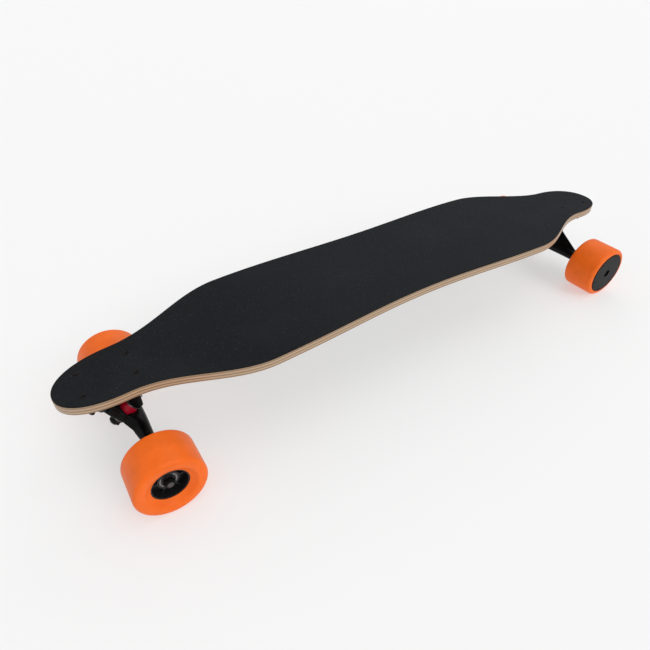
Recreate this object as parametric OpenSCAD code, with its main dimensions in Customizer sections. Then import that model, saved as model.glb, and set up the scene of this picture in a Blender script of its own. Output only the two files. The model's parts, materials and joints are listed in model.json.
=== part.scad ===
// Electric longboard: cambered laminated deck, reverse-leaning trucks, two free front wheels and two hub-motor rear wheels.
// Frame: origin on the ground below the middle of the wheelbase, +X to the nose, +Y to the left, +Z up. Millimetres.
// Each truck is drawn for the nose end and mirrored for the tail.

/* [Deck] */
// Overall length of the deck
deck_length = 986; // [940:2:1040]
// Half width at the middle of the deck
waist_half = 91; // [80:1:97]
// Half width where the feet stand
lobe_half = 99.9; // [95:1:112]
// Distance from the middle to the widest place
lobe_x = 234; // [210:1:250]
// Half width over the trucks
neck_half = 47.2; // [42:1:54]
// Distance from the middle to where the neck starts
neck_x = 414; // [405:1:425]
// Thickness of the laminate
deck_t = 12; // [10:0.5:14]
// Radius of the camber along the deck
camber_r = 5500; // [4500:100:9000]
// Height of the riding surface at the middle
deck_top = 144; // [138:0.5:152]
// Thickness of the grip sheet
grip_t = 0.8; // [0.5:0.1:1.5]

/* [Trucks] */
// Distance between the axles
wheelbase = 820; // [800:2:840]
// Distance from axle to the middle of the bolt pattern
pattern_offset = 18; // [14:0.5:22]
// Lift of the steering axis above level
steer_angle = 55; // [50:1:58]
// Half width of the hanger casting
hanger_half = 96.4; // [94:0.2:97]
// Diameter of the front axle
axle_d = 8; // [7.5:0.1:8]
// Outside diameter of the bushings
bushing_d = 23; // [21:0.5:23]

/* [Wheels] */
// Outside diameter of all wheels
wheel_d = 90; // [84:1:92]
// Width of the tyres
wheel_w = 55; // [52:0.5:56]
// Distance from the middle of the board to a front wheel's middle
front_track_half = 111; // [110:0.5:113]
// Distance from the middle of the board to a rear wheel's middle
rear_track_half = 108; // [107:0.5:110]
// Radius of a tyre's shoulders
shoulder_r = 6; // [4:0.5:7]

/* [Under the deck] */
// Depth of the battery case below the deck at the middle
case_depth = 30; // [28:0.5:34]
// Width of the battery case
case_w = 122; // [116:2:136]
// Wall of both cases
case_wall = 2.6; // [2:0.2:3]

/* [Hidden] */

$fn = 48;
FINE = 96;

// Heights and places that follow from the driving sizes
axle_x = wheelbase / 2;
axle_z = wheel_d / 2;
pattern_x = axle_x + pattern_offset;
bolt_pitch_x = 63.5;
bolt_pitch_y = 41.3;
tilt = asin(pattern_x / camber_r);
camber_steps = 48;
edge_steps = 26;
tip_power = 2.2;

// Truck sizes, in the steering frame: X along the steering axis, Z up the kingpin, origin at the axle
king_s = 17.5;
king_d = 9.5;
pivot_h = -6.25;
seat_h = 10;
washer_t = 1.5;
plate_h = seat_h + washer_t;
pocket_top_h = -4;
pocket_low_h = -7;
road_low_h = -15;
nut_h = 7;
tip_h = road_low_h - washer_t - nut_h - 2.5;
neck_half_y = 12.4;
ring_r = 16.8;
pivot_start = 44;
pin_end = 58;
pin_r = 5.5;
cup_r = 8.5;
run_gap = 0.05;
riser_t = 5;
plate_t = 8;
plate_half_x = 40;
plate_half_y = 28;

// Front wheel sizes, from the wheel's middle outwards along Y
bearing_od = 22;
bearing_w = 7;
bearing_out = 13;
core_r = 24;
core_half = 20;
lip_r = 31;
// Hub motor sizes
can_r = 37;
magnet_r = 33.6;
magnet_t = 3;
stator_r = 30;
stator_w = 26;
cover_r = 36.6;
inner_bearing_r = 16;
outer_bearing_r = 14;
motor_bearing_w = 8;
shaft_r = 7.5;
shaft_root_r = 6;
shaft_end_r = 5.5;
motor_inner = 25.5;
cover_z = 25.1;
cover_t = 3.1;
outer_bearing_z = 15.6;
centre_hole_r = 6.9;
rear_hanger_half = 79.5;

// Case sizes
battery_x0 = -64;
battery_x1 = 262;
control_x0 = -300;
control_x1 = -100;
control_w = 112;
case_floor = deck_top - deck_t - case_depth;
flange_w = 9;
flange_t = 3;
gasket_t = 1.2;
case_r = 16;
cell_d = 18.4;
cell_len = 65;
button_x = -150;
button_r = 5;
socket_x = -200;
socket_r = 5;
socket_depth = 9;
light_x = -124;

function camber(x) = deck_top - camber_r + sqrt(camber_r * camber_r - x * x);
function under(x) = camber(x) - deck_t;
function ease(t) = (1 - cos(180 * t)) / 2;
tip_len = deck_length / 2 - neck_x;
// Half width of the deck at a distance x from the middle
function half_width(x) =
  x < lobe_x ? waist_half + (lobe_half - waist_half) * ease(x / lobe_x)
  : x < neck_x ? lobe_half + (neck_half - lobe_half) * ease((x - lobe_x - 8) / (neck_x - lobe_x - 8))
  : neck_half * pow(max(0, 1 - pow((x - neck_x) / tip_len, tip_power)), 1 / tip_power);
function clamp_half(x) = x > lobe_x && x < lobe_x + 8 ? lobe_half : half_width(x);

// Quarter outline: even steps to the neck, then closer and closer to the tip
quarter = concat(
  [for (i = [0 : edge_steps - 1]) let (x = neck_x * i / edge_steps) [x, clamp_half(x)]],
  [for (i = [0 : 12]) let (x = neck_x + tip_len * sin(90 * i / 12)) [x, half_width(x)]]);

module mirror_x() { children(); mirror([1, 0, 0]) children(); }
module mirror_y() { children(); mirror([0, 1, 0]) children(); }

module outline(inset = 0) {
  k = (deck_length / 2 - inset) / (deck_length / 2);
  n = len(quarter);
  right = [for (p = quarter) [p[0] * k, max(0, p[1] - inset)]];
  polygon(concat(
    right,
    [for (i = [n - 2 : -1 : 0]) [right[i][0], -right[i][1]]],
    [for (i = [1 : n - 1]) [-right[i][0], -right[i][1]]],
    [for (i = [n - 2 : -1 : 1]) [-right[i][0], right[i][1]]]));
}

// A slab that follows the camber between two depths below the riding surface
module camber_slab(top, bottom, half_y = 120, x0 = -520, x1 = 520) {
  xs = [for (i = [0 : camber_steps]) x0 + (x1 - x0) * i / camber_steps];
  translate([0, half_y, 0]) rotate([90, 0, 0]) linear_extrude(2 * half_y)
    polygon(concat([for (x = xs) [x, camber(x) - top]],
                   [for (i = [camber_steps : -1 : 0]) [xs[i], camber(xs[i]) - bottom]]));
}

// Plane of a truck's mounting face: X along the deck, Z square to it, at the middle of the bolt pattern
module at_mount() { translate([pattern_x, 0, under(pattern_x)]) rotate([0, tilt, 0]) children(); }
module at_bolts() {
  for (i = [-1, 1], j = [-1, 1]) translate([i * bolt_pitch_x / 2, j * bolt_pitch_y / 2, 0]) children();
}
// Steering frame of the nose truck
module at_steer() { translate([axle_x, 0, axle_z]) rotate([0, -steer_angle, 0]) children(); }
module along_y(y0, y1, r0, r1) {
  translate([0, y0, 0]) rotate([-90, 0, 0]) cylinder(h = y1 - y0, r1 = r0, r2 = r1);
}
module along_s(s0, s1, r0, r1) {
  translate([s0, 0, pivot_h]) rotate([0, 90, 0]) cylinder(h = s1 - s0, r1 = r0, r2 = r1);
}

// Deck and its fastenings -------------------------------------------------------------------
bolt_r = 2.5;
bolt_head_r = 4.6;
bolt_head_t = 2.8;
grip_margin = 0.5;
module deck() color("burlywood") difference() {
  intersection() {
    translate([0, 0, 90]) linear_extrude(80) outline();
    camber_slab(grip_t, deck_t);
  }
  mirror_x() at_mount() at_bolts() {
    translate([0, 0, -5]) cylinder(h = 40, r = bolt_r + 0.2);
    translate([0, 0, deck_t - grip_t - bolt_head_t]) cylinder(h = 10, r = bolt_head_r + 0.2);
  }
  case_screw_holes();
}
module grip_tape() color([0.13, 0.13, 0.14]) difference() {
  intersection() {
    translate([0, 0, 90]) linear_extrude(80) outline(grip_margin);
    camber_slab(0, grip_t);
  }
  mirror_x() at_mount() at_bolts() translate([0, 0, 5]) cylinder(h = 20, r = bolt_head_r + 0.2);
}
module riser_pads() color([0.08, 0.08, 0.08]) mirror_x() difference() {
  intersection() {
    at_mount() translate([0, 0, -riser_t]) linear_extrude(20) rounded_plate(plate_half_x, plate_half_y);
    translate([0, 0, -deck_t]) camber_slab(0, 40);
  }
  at_mount() at_bolts() translate([0, 0, -10]) cylinder(h = 30, r = bolt_r + 0.2);
}
module rounded_plate(half_x, half_y, r = 9) {
  hull_x = half_x - r;
  hull_y = half_y - r;
  union() {
    square([2 * half_x, 2 * hull_y], center = true);
    square([2 * hull_x, 2 * half_y], center = true);
    for (i = [-1, 1], j = [-1, 1]) translate([i * hull_x, j * hull_y]) circle(r);
  }
}
bolt_low = -riser_t - plate_t - 8;
module truck_bolts() color([0.1, 0.1, 0.1]) mirror_x() at_mount() at_bolts() difference() {
  union() {
    translate([0, 0, bolt_low]) cylinder(h = deck_t - bolt_low - 2, r = bolt_r);
    translate([0, 0, deck_t - grip_t - bolt_head_t]) cylinder(h = bolt_head_t, r = bolt_head_r);
  }
  translate([0, 0, deck_t - 2]) cylinder(h = 5, r = 1.6, $fn = 6);
}
module truck_nuts() color("silver") mirror_x() at_mount() at_bolts()
  translate([0, 0, -riser_t - plate_t + spot_t - 5.2]) difference() {
    union() {
      cylinder(h = 5.2, r = 4.6, $fn = 6);
      translate([0, 0, -1.2]) cylinder(h = 1.2, r = 3.4);
    }
    translate([0, 0, -2]) cylinder(h = 9, r = bolt_r);
  }

// Trucks ------------------------------------------------------------------------------------
lug_s0 = pivot_start + 2.2;
lug_r = 11;
spot_t = 0.4;
module baseplate_shape() difference() {
  union() {
    at_mount() translate([0, 0, -riser_t - plate_t]) linear_extrude(plate_t + 1)
      rounded_plate(plate_half_x, plate_half_y);
    // Boss that carries the kingpin and the upper bushing
    hull() {
      at_steer() translate([king_s, 0, plate_h - 1]) cylinder(h = 6, r = 12.4, $fn = 32);
      translate([axle_x - 10.5, -13, axle_z + 54]) cube([24, 26, 5]);
      translate([axle_x - 10.5, -12, axle_z + 20]) cube([8, 24, 5]);
    }
    // Lug that holds the pivot cup
    hull() {
      at_steer() along_s(lug_s0, pin_end + 4, lug_r, lug_r - 1.5, $fn = 32);
      translate([axle_x + 26, -14, axle_z + 54]) cube([28, 28, 4]);
    }
    // Stiffening rib between boss and lug
    translate([axle_x - 4, -3.5, axle_z + 44]) cube([46, 7, 12]);
  }
  // Nothing stands above the mounting face
  at_mount() translate([-80, -60, -riser_t]) cube([160, 120, 60]);
  at_steer() {
    translate([king_s, 0, plate_h - 1]) cylinder(h = 16, r = king_d / 2);
    translate([0, 0, pivot_h]) rotate([0, 90, 0]) translate([0, 0, lug_s0 - 1]) cylinder(h = 14.8, r = cup_r);
    // Room for the bushing washer and the moving neck
    translate([king_s, 0, -20]) cylinder(h = 20 + plate_h, r = 14.5);
    translate([pivot_start - 24, -16, pivot_h - 20]) cube([24 + 1.6, 32, 34]);
  }
  at_mount() at_bolts() {
    translate([0, 0, -40]) cylinder(h = 60, r = bolt_r + 0.2);
    translate([0, 0, -40 - riser_t - plate_t]) cylinder(h = 40 + spot_t, r = 6.2);
  }
}
module front_baseplate() color([0.09, 0.09, 0.1]) baseplate_shape();
module rear_baseplate() color([0.09, 0.09, 0.1]) mirror([1, 0, 0]) baseplate_shape();

module kingpins() color("silver") mirror_x() at_steer() translate([king_s, 0, tip_h])
  cylinder(h = plate_h + 14 - tip_h, r = king_d / 2);
module kingpin_nuts() color([0.12, 0.12, 0.12]) mirror_x() at_steer()
  translate([king_s, 0, road_low_h - washer_t - nut_h]) difference() {
    cylinder(h = nut_h, r = 8.25, $fn = 6);
    translate([0, 0, -1]) cylinder(h = nut_h + 2, r = king_d / 2);
  }
module bushing_washers() color("silver") mirror_x() at_steer() translate([king_s, 0, 0]) {
  for (h = [seat_h, road_low_h - washer_t]) translate([0, 0, h]) difference() {
    cylinder(h = washer_t, r = h > 0 ? 12.2 : 10.2);
    translate([0, 0, -1]) cylinder(h = washer_t + 2, r = king_d / 2);
  }
}
module pivot_cups() color([0.16, 0.16, 0.17]) mirror_x() at_steer() difference() {
  along_s(lug_s0, pin_end + 2, cup_r, cup_r);
  along_s(lug_s0 - 1, pin_end + 0.4, pin_r + run_gap, pin_r + run_gap);
}
module bushing(h0, h1, r0, r1) at_steer() translate([king_s, 0, h0]) difference() {
  cylinder(h = h1 - h0, r1 = r0, r2 = r1);
  translate([0, 0, -1]) cylinder(h = h1 - h0 + 2, r = king_d / 2 + 0.1);
}
module board_bushing() color("crimson") bushing(pocket_top_h, seat_h, bushing_d / 2, bushing_d / 2);
module road_bushing() color("crimson") bushing(road_low_h, pocket_low_h, bushing_d / 2 - 2.5, bushing_d / 2);
module front_board_bushing() board_bushing();
module front_road_bushing() road_bushing();
module rear_board_bushing() mirror([1, 0, 0]) board_bushing();
module rear_road_bushing() mirror([1, 0, 0]) road_bushing();

ring_low_h = -12;
relief_h = -10.6;
relief_r = 14.8;
ring_top_h = -1;
arm_y1 = 14;
arm_y2 = 29;
arm_y3 = 58;
module arm_section(y, tube_r, s1, h0, h1) {
  translate([0, y, 0]) rotate([-90, 0, 0]) cylinder(h = 0.5, r = tube_r, $fn = 32);
  translate([-tube_r + 2, y, h0]) cube([s1 + tube_r - 2, 0.5, h1 - h0]);
}
module hanger_shape(half, bore_r, bore_start) difference() {
  union() {
    children();
    // Axle tube, tapering to the wheels
    at_steer() mirror_y() {
      along_y(0, arm_y3, 9.6, 8.2);
      along_y(arm_y3, half, 8.2, 7.6);
    }
    // Seat ring around the kingpin and the neck that carries the pivot pin
    at_steer() {
      translate([king_s, 0, ring_low_h]) cylinder(h = ring_top_h - ring_low_h, r = ring_r);
      hull() {
        translate([king_s, -neck_half_y, ring_low_h - 1.4]) cube([12, 2 * neck_half_y, ring_top_h + 1.4 - ring_low_h]);
        translate([pivot_start - 5, -neck_half_y + 2.5, ring_low_h]) cube([4, 2 * neck_half_y - 5, ring_top_h - ring_low_h]);
        along_s(pivot_start - 1, pivot_start, 9.5, 9, $fn = 32);
      }
      along_s(pivot_start - 1, pin_end - 2, pin_r, pin_r);
      along_s(pin_end - 2, pin_end, pin_r, pin_r - 2);
    }
    // Arms, deep beside the ring and slim at the wheels
    at_steer() mirror_y() {
      hull() { arm_section(0, 9.6, 20, -13.4, -1); arm_section(arm_y1, 9.6, 18, -13.2, 1.5); }
      hull() { arm_section(arm_y1, 9.6, 18, -13.2, 1.5); arm_section(arm_y2, 9.2, 9.6, -10, 3); }
      hull() { arm_section(arm_y2, 9.2, 9.6, -10, 3); arm_section(arm_y3, 8.2, 6.5, -6, 4); }
    }
  }
  at_steer() {
    translate([king_s, 0, -40]) cylinder(h = 80, r = 6.6);
    translate([king_s, 0, pocket_top_h]) cylinder(h = 60, r = bushing_d / 2 + 0.3);
    translate([king_s, 0, pocket_low_h - 40]) cylinder(h = 40, r = bushing_d / 2 + 0.3);
    translate([king_s, 0, relief_h - 40]) cylinder(h = 40, r = relief_r);
    mirror_y() along_y(bore_start, half + 1, bore_r, bore_r);
  }
}
module front_hanger() color([0.09, 0.09, 0.1]) hanger_shape(hanger_half, axle_d / 2, -1);

speed_t = 1.2;
front_in = front_track_half - bearing_out;
front_out = front_track_half + bearing_out;
axle_tip = front_out + 8.2;
module front_axle() color("silver") at_steer() along_y(-axle_tip, axle_tip, axle_d / 2, axle_d / 2);
module front_axle_nuts() color("silver") at_steer() mirror_y() translate([0, front_out + speed_t + 0.1, 0])
  rotate([-90, 0, 0]) difference() {
    union() {
      cylinder(h = 5, r = 7.2, $fn = 6);
      cylinder(h = 6.4, r = 5.4);
    }
    translate([0, 0, -1]) cylinder(h = 9, r = axle_d / 2);
  }
module front_speed_rings() color("silver") at_steer() mirror_y() {
  for (y = [hanger_half, front_out + 0.1]) difference() {
    along_y(y, y + (y < front_track_half ? front_in - 0.1 - hanger_half : speed_t), 6.2, 6.2);
    along_y(y - 1, y + 5, axle_d / 2, axle_d / 2);
  }
}

// Front wheels: drawn with the outer face towards +Y, in the wheel's own middle --------------------
module at_front_wheel(side) {
  mirror([0, side < 0 ? 1 : 0, 0]) translate([axle_x, front_track_half, axle_z]) rotate([-90, 0, 0]) children();
}
tyre_half = wheel_w / 2;
function shoulder_points(sign_y) = [for (i = [0 : 6]) let (a = sign_y > 0 ? 15 * i : 90 - 15 * i)
  [wheel_d / 2 - shoulder_r + shoulder_r * cos(a), sign_y * (tyre_half - shoulder_r + shoulder_r * sin(a))]];
module front_tyre() color("darkorange") rotate_extrude($fn = FINE)
  polygon(concat(shoulder_points(-1), shoulder_points(1),
    [[lip_r + 3, tyre_half], [lip_r, tyre_half - 1], [lip_r - 3.4, core_half + 3], [core_r - 0.8, core_half + 0.6],
     [core_r - 0.8, core_half], [core_r, core_half], [core_r, -core_half], [core_r - 0.8, -core_half],
     [core_r - 0.8, -core_half - 0.6], [lip_r - 3, -core_half - 3], [lip_r, -tyre_half + 1],
     [lip_r + 3, -tyre_half]]));
seat_r = bearing_od / 2;
module front_core() color([0.12, 0.12, 0.12]) difference() {
  union() {
    // Outer sleeve, hub sleeve and the web between them
    difference() {
      translate([0, 0, -core_half]) cylinder(h = 2 * core_half, r = core_r, $fn = FINE);
      translate([0, 0, -core_half - 1]) cylinder(h = 2 * core_half + 2, r = core_r - 2.2, $fn = FINE);
    }
    translate([0, 0, -bearing_out]) cylinder(h = 2 * bearing_out, r = seat_r + 2.6);
    translate([0, 0, -7]) cylinder(h = 14, r = core_r - 1);
    for (i = [0 : 5]) rotate([0, 0, 60 * i]) translate([seat_r + 1, -1.2, -bearing_out + 1])
      cube([core_r - seat_r - 2, 2.4, 2 * bearing_out - 2]);
  }
  translate([0, 0, -30]) cylinder(h = 60, r = seat_r - 1.6);
  for (s = [-1, 1]) translate([0, 0, s > 0 ? bearing_out - bearing_w : -bearing_out - 3])
    cylinder(h = bearing_w + 3, r = seat_r);
}
module front_bearings() color("silver") for (s = [-1, 1])
  translate([0, 0, s > 0 ? bearing_out - bearing_w : -bearing_out]) ring_bearing(seat_r, axle_d / 2 + run_gap, bearing_w);
module ring_bearing(outer, inner, width) difference() {
  cylinder(h = width, r = outer);
  translate([0, 0, -1]) cylinder(h = width + 2, r = inner);
  for (z = [-1, width - 0.6]) translate([0, 0, z]) difference() {
    cylinder(h = 1.6, r = outer - 2);
    translate([0, 0, -1]) cylinder(h = 4, r = inner + 2);
  }
}
module front_spacer() color("silver") difference() {
  translate([0, 0, -bearing_out + bearing_w]) cylinder(h = 2 * (bearing_out - bearing_w), r = 5.8);
  translate([0, 0, -20]) cylinder(h = 40, r = axle_d / 2 + run_gap);
}

// Rear hub motors ---------------------------------------------------------------------------
module at_rear_wheel(side) {
  mirror([0, side < 0 ? 1 : 0, 0]) translate([-axle_x, rear_track_half, axle_z]) rotate([-90, 0, 0]) children();
}
module rear_tyre() color("darkorange") rotate_extrude($fn = FINE)
  polygon(concat(shoulder_points(-1), shoulder_points(1),
    [[can_r + 0.6, tyre_half], [can_r, tyre_half - 0.6], [can_r, -tyre_half + 0.6], [can_r + 0.6, -tyre_half]]));
screw_circle = 33.3;
module on_screw_circle() for (i = [0 : 5]) rotate([0, 0, 60 * i + 15]) translate([screw_circle, 0, 0]) children();
// Rotor can with its inner end wall; the cover closes the outer end
module rear_rotor() color([0.2, 0.2, 0.2]) difference() {
  translate([0, 0, -motor_inner]) cylinder(h = motor_inner + cover_z, r = can_r, $fn = FINE);
  translate([0, 0, -motor_inner + 4]) cylinder(h = motor_inner + 15, r = magnet_r, $fn = FINE);
  translate([0, 0, 15]) cylinder(h = 30, r = magnet_r - magnet_t, $fn = FINE);
  translate([0, 0, -motor_inner - 1]) cylinder(h = 20, r = inner_bearing_r);
  on_screw_circle() translate([0, 0, cover_z - 9]) cylinder(h = 20, r = 1.25);
}
module rear_magnets() color([0.6, 0.6, 0.62]) for (i = [0 : 13]) rotate([0, 0, i * 360 / 14])
  intersection() {
    difference() {
      translate([0, 0, -14]) cylinder(h = 28, r = magnet_r);
      translate([0, 0, -15]) cylinder(h = 30, r = magnet_r - magnet_t);
    }
    translate([magnet_r - 6, -6.6, -14]) cube([8, 13.2, 28]);
  }
module rear_cover() color([0.25, 0.25, 0.25]) difference() {
  union() {
    translate([0, 0, cover_z]) cylinder(h = cover_t, r = cover_r, $fn = FINE);
    translate([0, 0, outer_bearing_z]) cylinder(h = cover_z - outer_bearing_z, r = outer_bearing_r + 3);
  }
  translate([0, 0, outer_bearing_z - 1]) cylinder(h = motor_bearing_w + 1, r = outer_bearing_r);
  translate([0, 0, outer_bearing_z]) cylinder(h = 20, r = centre_hole_r);
  on_screw_circle() {
    translate([0, 0, cover_z - 1]) cylinder(h = 10, r = 1.3);
    translate([0, 0, cover_z + cover_t - 1.4]) cylinder(h = 5, r = 2.3);
  }
}
module rear_screws() color([0.15, 0.15, 0.15]) on_screw_circle() difference() {
  union() {
    translate([0, 0, cover_z - 8]) cylinder(h = 8.2 + cover_t - 1.4, r = 1.25);
    translate([0, 0, cover_z + cover_t - 1.4]) cylinder(h = 1.2, r = 2.2);
  }
  translate([0, 0, cover_z + cover_t - 0.9]) cylinder(h = 5, r = 1.1, $fn = 6);
}
module rear_bearings() color("silver") {
  translate([0, 0, outer_bearing_z]) ring_bearing(outer_bearing_r, shaft_end_r + run_gap, motor_bearing_w);
  translate([0, 0, -motor_inner]) ring_bearing(inner_bearing_r, shaft_r + run_gap, motor_bearing_w);
}

// Fixed half of the hub motors, carried by the rear hanger
module at_rear_axle() translate([-axle_x, 0, axle_z]) children();
lead_y = 10;
lead_flat = 7.4;
web_s1 = 33.4;
web_s2 = 12.2;
// Flat tapering web from the seat ring to the motor
module arm_web() mirror_y() at_steer() translate([0, 0, -6.5]) linear_extrude(7)
  polygon([[-8.8, 12], [web_s1, 12], [web_s1, arm_y1], [web_s2, arm_y3], [8, 72], [-7.4, 72], [-8.2, arm_y3]]);
module rear_hanger() color([0.09, 0.09, 0.1]) difference() {
  mirror([1, 0, 0]) hanger_shape(rear_hanger_half, shaft_root_r, 40) arm_web();
  // Flats where the motor leads leave
  at_rear_axle() mirror_y() translate([lead_flat, lead_y - 6, -12]) cube([8, 12, 24]);
}
module motor_shafts() color([0.55, 0.55, 0.57]) at_rear_axle() mirror_y() union() {
  along_y(40, rear_hanger_half, shaft_root_r, shaft_root_r);
  along_y(rear_hanger_half, rear_track_half + outer_bearing_z - 0.1, shaft_r, shaft_r);
  along_y(rear_track_half + outer_bearing_z - 0.1, rear_track_half + cover_z, shaft_end_r, shaft_end_r);
}
module shaft_clips() color([0.3, 0.3, 0.3]) at_rear_axle() mirror_y() difference() {
  along_y(rear_track_half + cover_z - 1.4, rear_track_half + cover_z - 0.4, 6.7, 6.7);
  along_y(rear_track_half, rear_track_half + 40, shaft_end_r, shaft_end_r);
}
teeth = 12;
module on_teeth() for (i = [0 : teeth - 1]) rotate([0, i * 360 / teeth, 0]) children();
module stator_cores() color([0.45, 0.45, 0.47]) at_rear_axle() mirror_y() translate([0, rear_track_half, 0])
  difference() {
    union() {
      along_y(-stator_w / 2, stator_w / 2, 15, 15);
      on_teeth() translate([10, -stator_w / 2, -2.4]) cube([17.5, stator_w, 4.8]);
      difference() {
        along_y(-stator_w / 2, stator_w / 2, stator_r, stator_r);
        along_y(-stator_w, stator_w, stator_r - 2.6, stator_r - 2.6);
        rotate([0, 180 / teeth, 0]) on_teeth() translate([20, -stator_w, -1.1]) cube([14, 2 * stator_w, 2.2]);
      }
    }
    along_y(-stator_w, stator_w, shaft_r, shaft_r);
  }
module stator_windings() color([0.72, 0.4, 0.2]) at_rear_axle() mirror_y() translate([0, rear_track_half, 0])
  on_teeth() difference() {
    translate([17.4, -stator_w / 2 - 2, -4.2]) cube([9.4, stator_w + 4, 8.4]);
    translate([16, -stator_w / 2, -2.4]) cube([13, stator_w, 4.8]);
  }
module gland(r) rotate([0, 90, 0]) difference() {
  cylinder(h = gland_len, r = r);
  for (z = [1.2 : 1.6 : 4.4]) translate([0, 0, z]) difference() {
    cylinder(h = 0.8, r = r + 1);
    translate([0, 0, -1]) cylinder(h = 3, r = r - 0.6);
  }
}
module hanger_glands() color([0.1, 0.1, 0.1]) at_rear_axle() mirror_y() translate([lead_flat, lead_y, 0])
  gland(4.4);
module case_glands() color([0.1, 0.1, 0.1]) mirror_y()
  translate([control_x0 - gland_len, lead_case_y, lead_case_z]) gland(5.6);

// Motor leads: route of the left one, from the hanger to the control case --------------------
gland_len = 6;
lead_case_y = 24;
lead_case_z = 113;
lead_r = 3;
lead_sides = 8;
lead_route = [[-396.6, 10, 45], [-391, 10, 45.4], [-385, 10.4, 48], [-379, 11, 54], [-374, 12.4, 63], [-369, 14, 74],
  [-362, 16.4, 86], [-351, 19, 97], [-337, 22, 106], [-321, 24, 111.2], [-312, 24, 113], [-306, 24, 113]];
function blend(a, b, c, d, t) =
  0.5 * (2 * b + (c - a) * t + (2 * a - 5 * b + 4 * c - d) * t * t + (3 * b - a - 3 * c + d) * t * t * t);
lead_line = concat([for (i = [0 : len(lead_route) - 2], t = [0, 0.5])
  blend(lead_route[max(0, i - 1)], lead_route[i], lead_route[i + 1],
        lead_route[min(len(lead_route) - 1, i + 2)], t)], [lead_route[len(lead_route) - 1]]);
function unit(v) = v / norm(v);
module tube(line, r, sides) {
  n = len(line);
  rings = [for (i = [0 : n - 1])
    let (along = i == 0 || i == n - 1 ? [1, 0, 0] : unit(line[i + 1] - line[i - 1]),
         side = unit(cross([0, 0, 1], along)), up = cross(along, side))
    for (k = [0 : sides - 1]) line[i] + r * (cos(360 * k / sides) * side + sin(360 * k / sides) * up)];
  walls = [for (i = [0 : n - 2], k = [0 : sides - 1])
    let (k2 = (k + 1) % sides) [i * sides + k, (i + 1) * sides + k, (i + 1) * sides + k2, i * sides + k2]];
  tris = [for (w = walls) each [[w[0], w[1], w[2]], [w[0], w[2], w[3]]]];
  polyhedron(rings, concat(tris, [[for (k = [0 : sides - 1]) k]],
                           [[for (k = [sides - 1 : -1 : 0]) (n - 1) * sides + k]]), convexity = 8);
}
module motor_leads() color([0.07, 0.07, 0.07]) mirror_y() tube(lead_line, lead_r, lead_sides);

// Cases under the deck -----------------------------------------------------------------------
module plan(x0, x1, w, grow) translate([(x0 + x1) / 2, 0])
  rounded_plate((x1 - x0) / 2 + grow, w / 2 + grow, case_r + grow);
module bevelled(x0, x1, w, grow, low) {
  bevel = 7 + grow * 0.4;
  top = deck_top;
  intersection() {
    translate([0, 0, low]) linear_extrude(top - low) plan(x0, x1, w, grow);
    translate([x0 - 20, 0, 0]) rotate([90, 0, 90]) linear_extrude(x1 - x0 + 40)
      polygon([[-w / 2 - grow + bevel, low], [w / 2 + grow - bevel, low], [w / 2 + grow, low + bevel],
               [w / 2 + grow, top], [-w / 2 - grow, top], [-w / 2 - grow, low + bevel]]);
    translate([0, w, 0]) rotate([90, 0, 0]) linear_extrude(2 * w)
      polygon([[x0 - grow + bevel, low], [x1 + grow - bevel, low], [x1 + grow, low + bevel], [x1 + grow, top],
               [x0 - grow, top], [x0 - grow, low + bevel]]);
  }
}
gasket_low = deck_t + gasket_t;
module case_shell(x0, x1, w) difference() {
  union() {
    intersection() {
      bevelled(x0, x1, w, 0, case_floor);
      camber_slab(gasket_low, 100);
    }
    intersection() {
      linear_extrude(200) plan(x0, x1, w, flange_w);
      camber_slab(gasket_low, gasket_low + flange_t);
    }
  }
  bevelled(x0, x1, w, -case_wall, case_floor + case_wall);
  at_case_screws(x0, x1, w) translate([0, 0, -2]) cylinder(h = 90, r = 2);
}
module case_gasket(x0, x1, w) difference() {
  intersection() {
    linear_extrude(200) difference() {
      plan(x0, x1, w, flange_w);
      plan(x0, x1, w, -case_wall);
    }
    camber_slab(deck_t, gasket_low);
  }
  at_case_screws(x0, x1, w) cylinder(h = 90, r = 2);
}
// Screw places along both flanges, at the height of the screws' heads
module at_case_screws(x0, x1, w) {
  n = round((x1 - x0) / 70);
  for (i = [0 : n], s = [-1, 1]) let (x = x0 + 13 + (x1 - x0 - 26) * i / n)
    translate([x, s * (w / 2 + flange_w / 2 + 0.3), camber(x) - gasket_low - flange_t]) children();
}
module all_case_screws() {
  at_case_screws(battery_x0, battery_x1, case_w) children();
  at_case_screws(control_x0, control_x1, control_w) children();
}
module case_screw_holes() all_case_screws() cylinder(h = 12, r = 1.6);
module case_screws() color([0.15, 0.15, 0.15]) all_case_screws() translate([0, 0, -0.25]) difference() {
  union() {
    translate([0, 0, -2]) cylinder(h = 2, r = 3.4);
    cylinder(h = 11.5, r = 1.6);
  }
  translate([0, 0, -3]) cylinder(h = 2.2, r = 1.5, $fn = 6);
}
module battery_case() color([0.12, 0.12, 0.13]) difference() {
  case_shell(battery_x0, battery_x1, case_w);
  translate([battery_x0 - 5, -12, link_z]) cube([12, 24, 8]);
}
module battery_gasket() color([0.2, 0.2, 0.2]) case_gasket(battery_x0, battery_x1, case_w);
cell_z = case_floor + case_wall + 0.4 + cell_d / 2;
module battery_cells() color([0.2, 0.5, 0.35]) for (i = [0 : 3], j = [0 : 4])
  translate([battery_x0 + 10 + i * (cell_len + 11), -48 + j * (cell_d + 0.8), cell_z]) rotate([0, 90, 0]) union() {
    cylinder(h = cell_len, r = cell_d / 2);
    translate([0, 0, cell_len]) cylinder(h = 1, r = 3);
  }
module battery_board() color([0.1, 0.35, 0.2]) translate([battery_x0 + 40, 41, cell_z - 4]) {
  cube([180, 14, 1.6]);
  for (i = [0 : 8]) translate([8 + 19 * i, 3, 1.6]) cube([10, 8, 3]);
}
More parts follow.
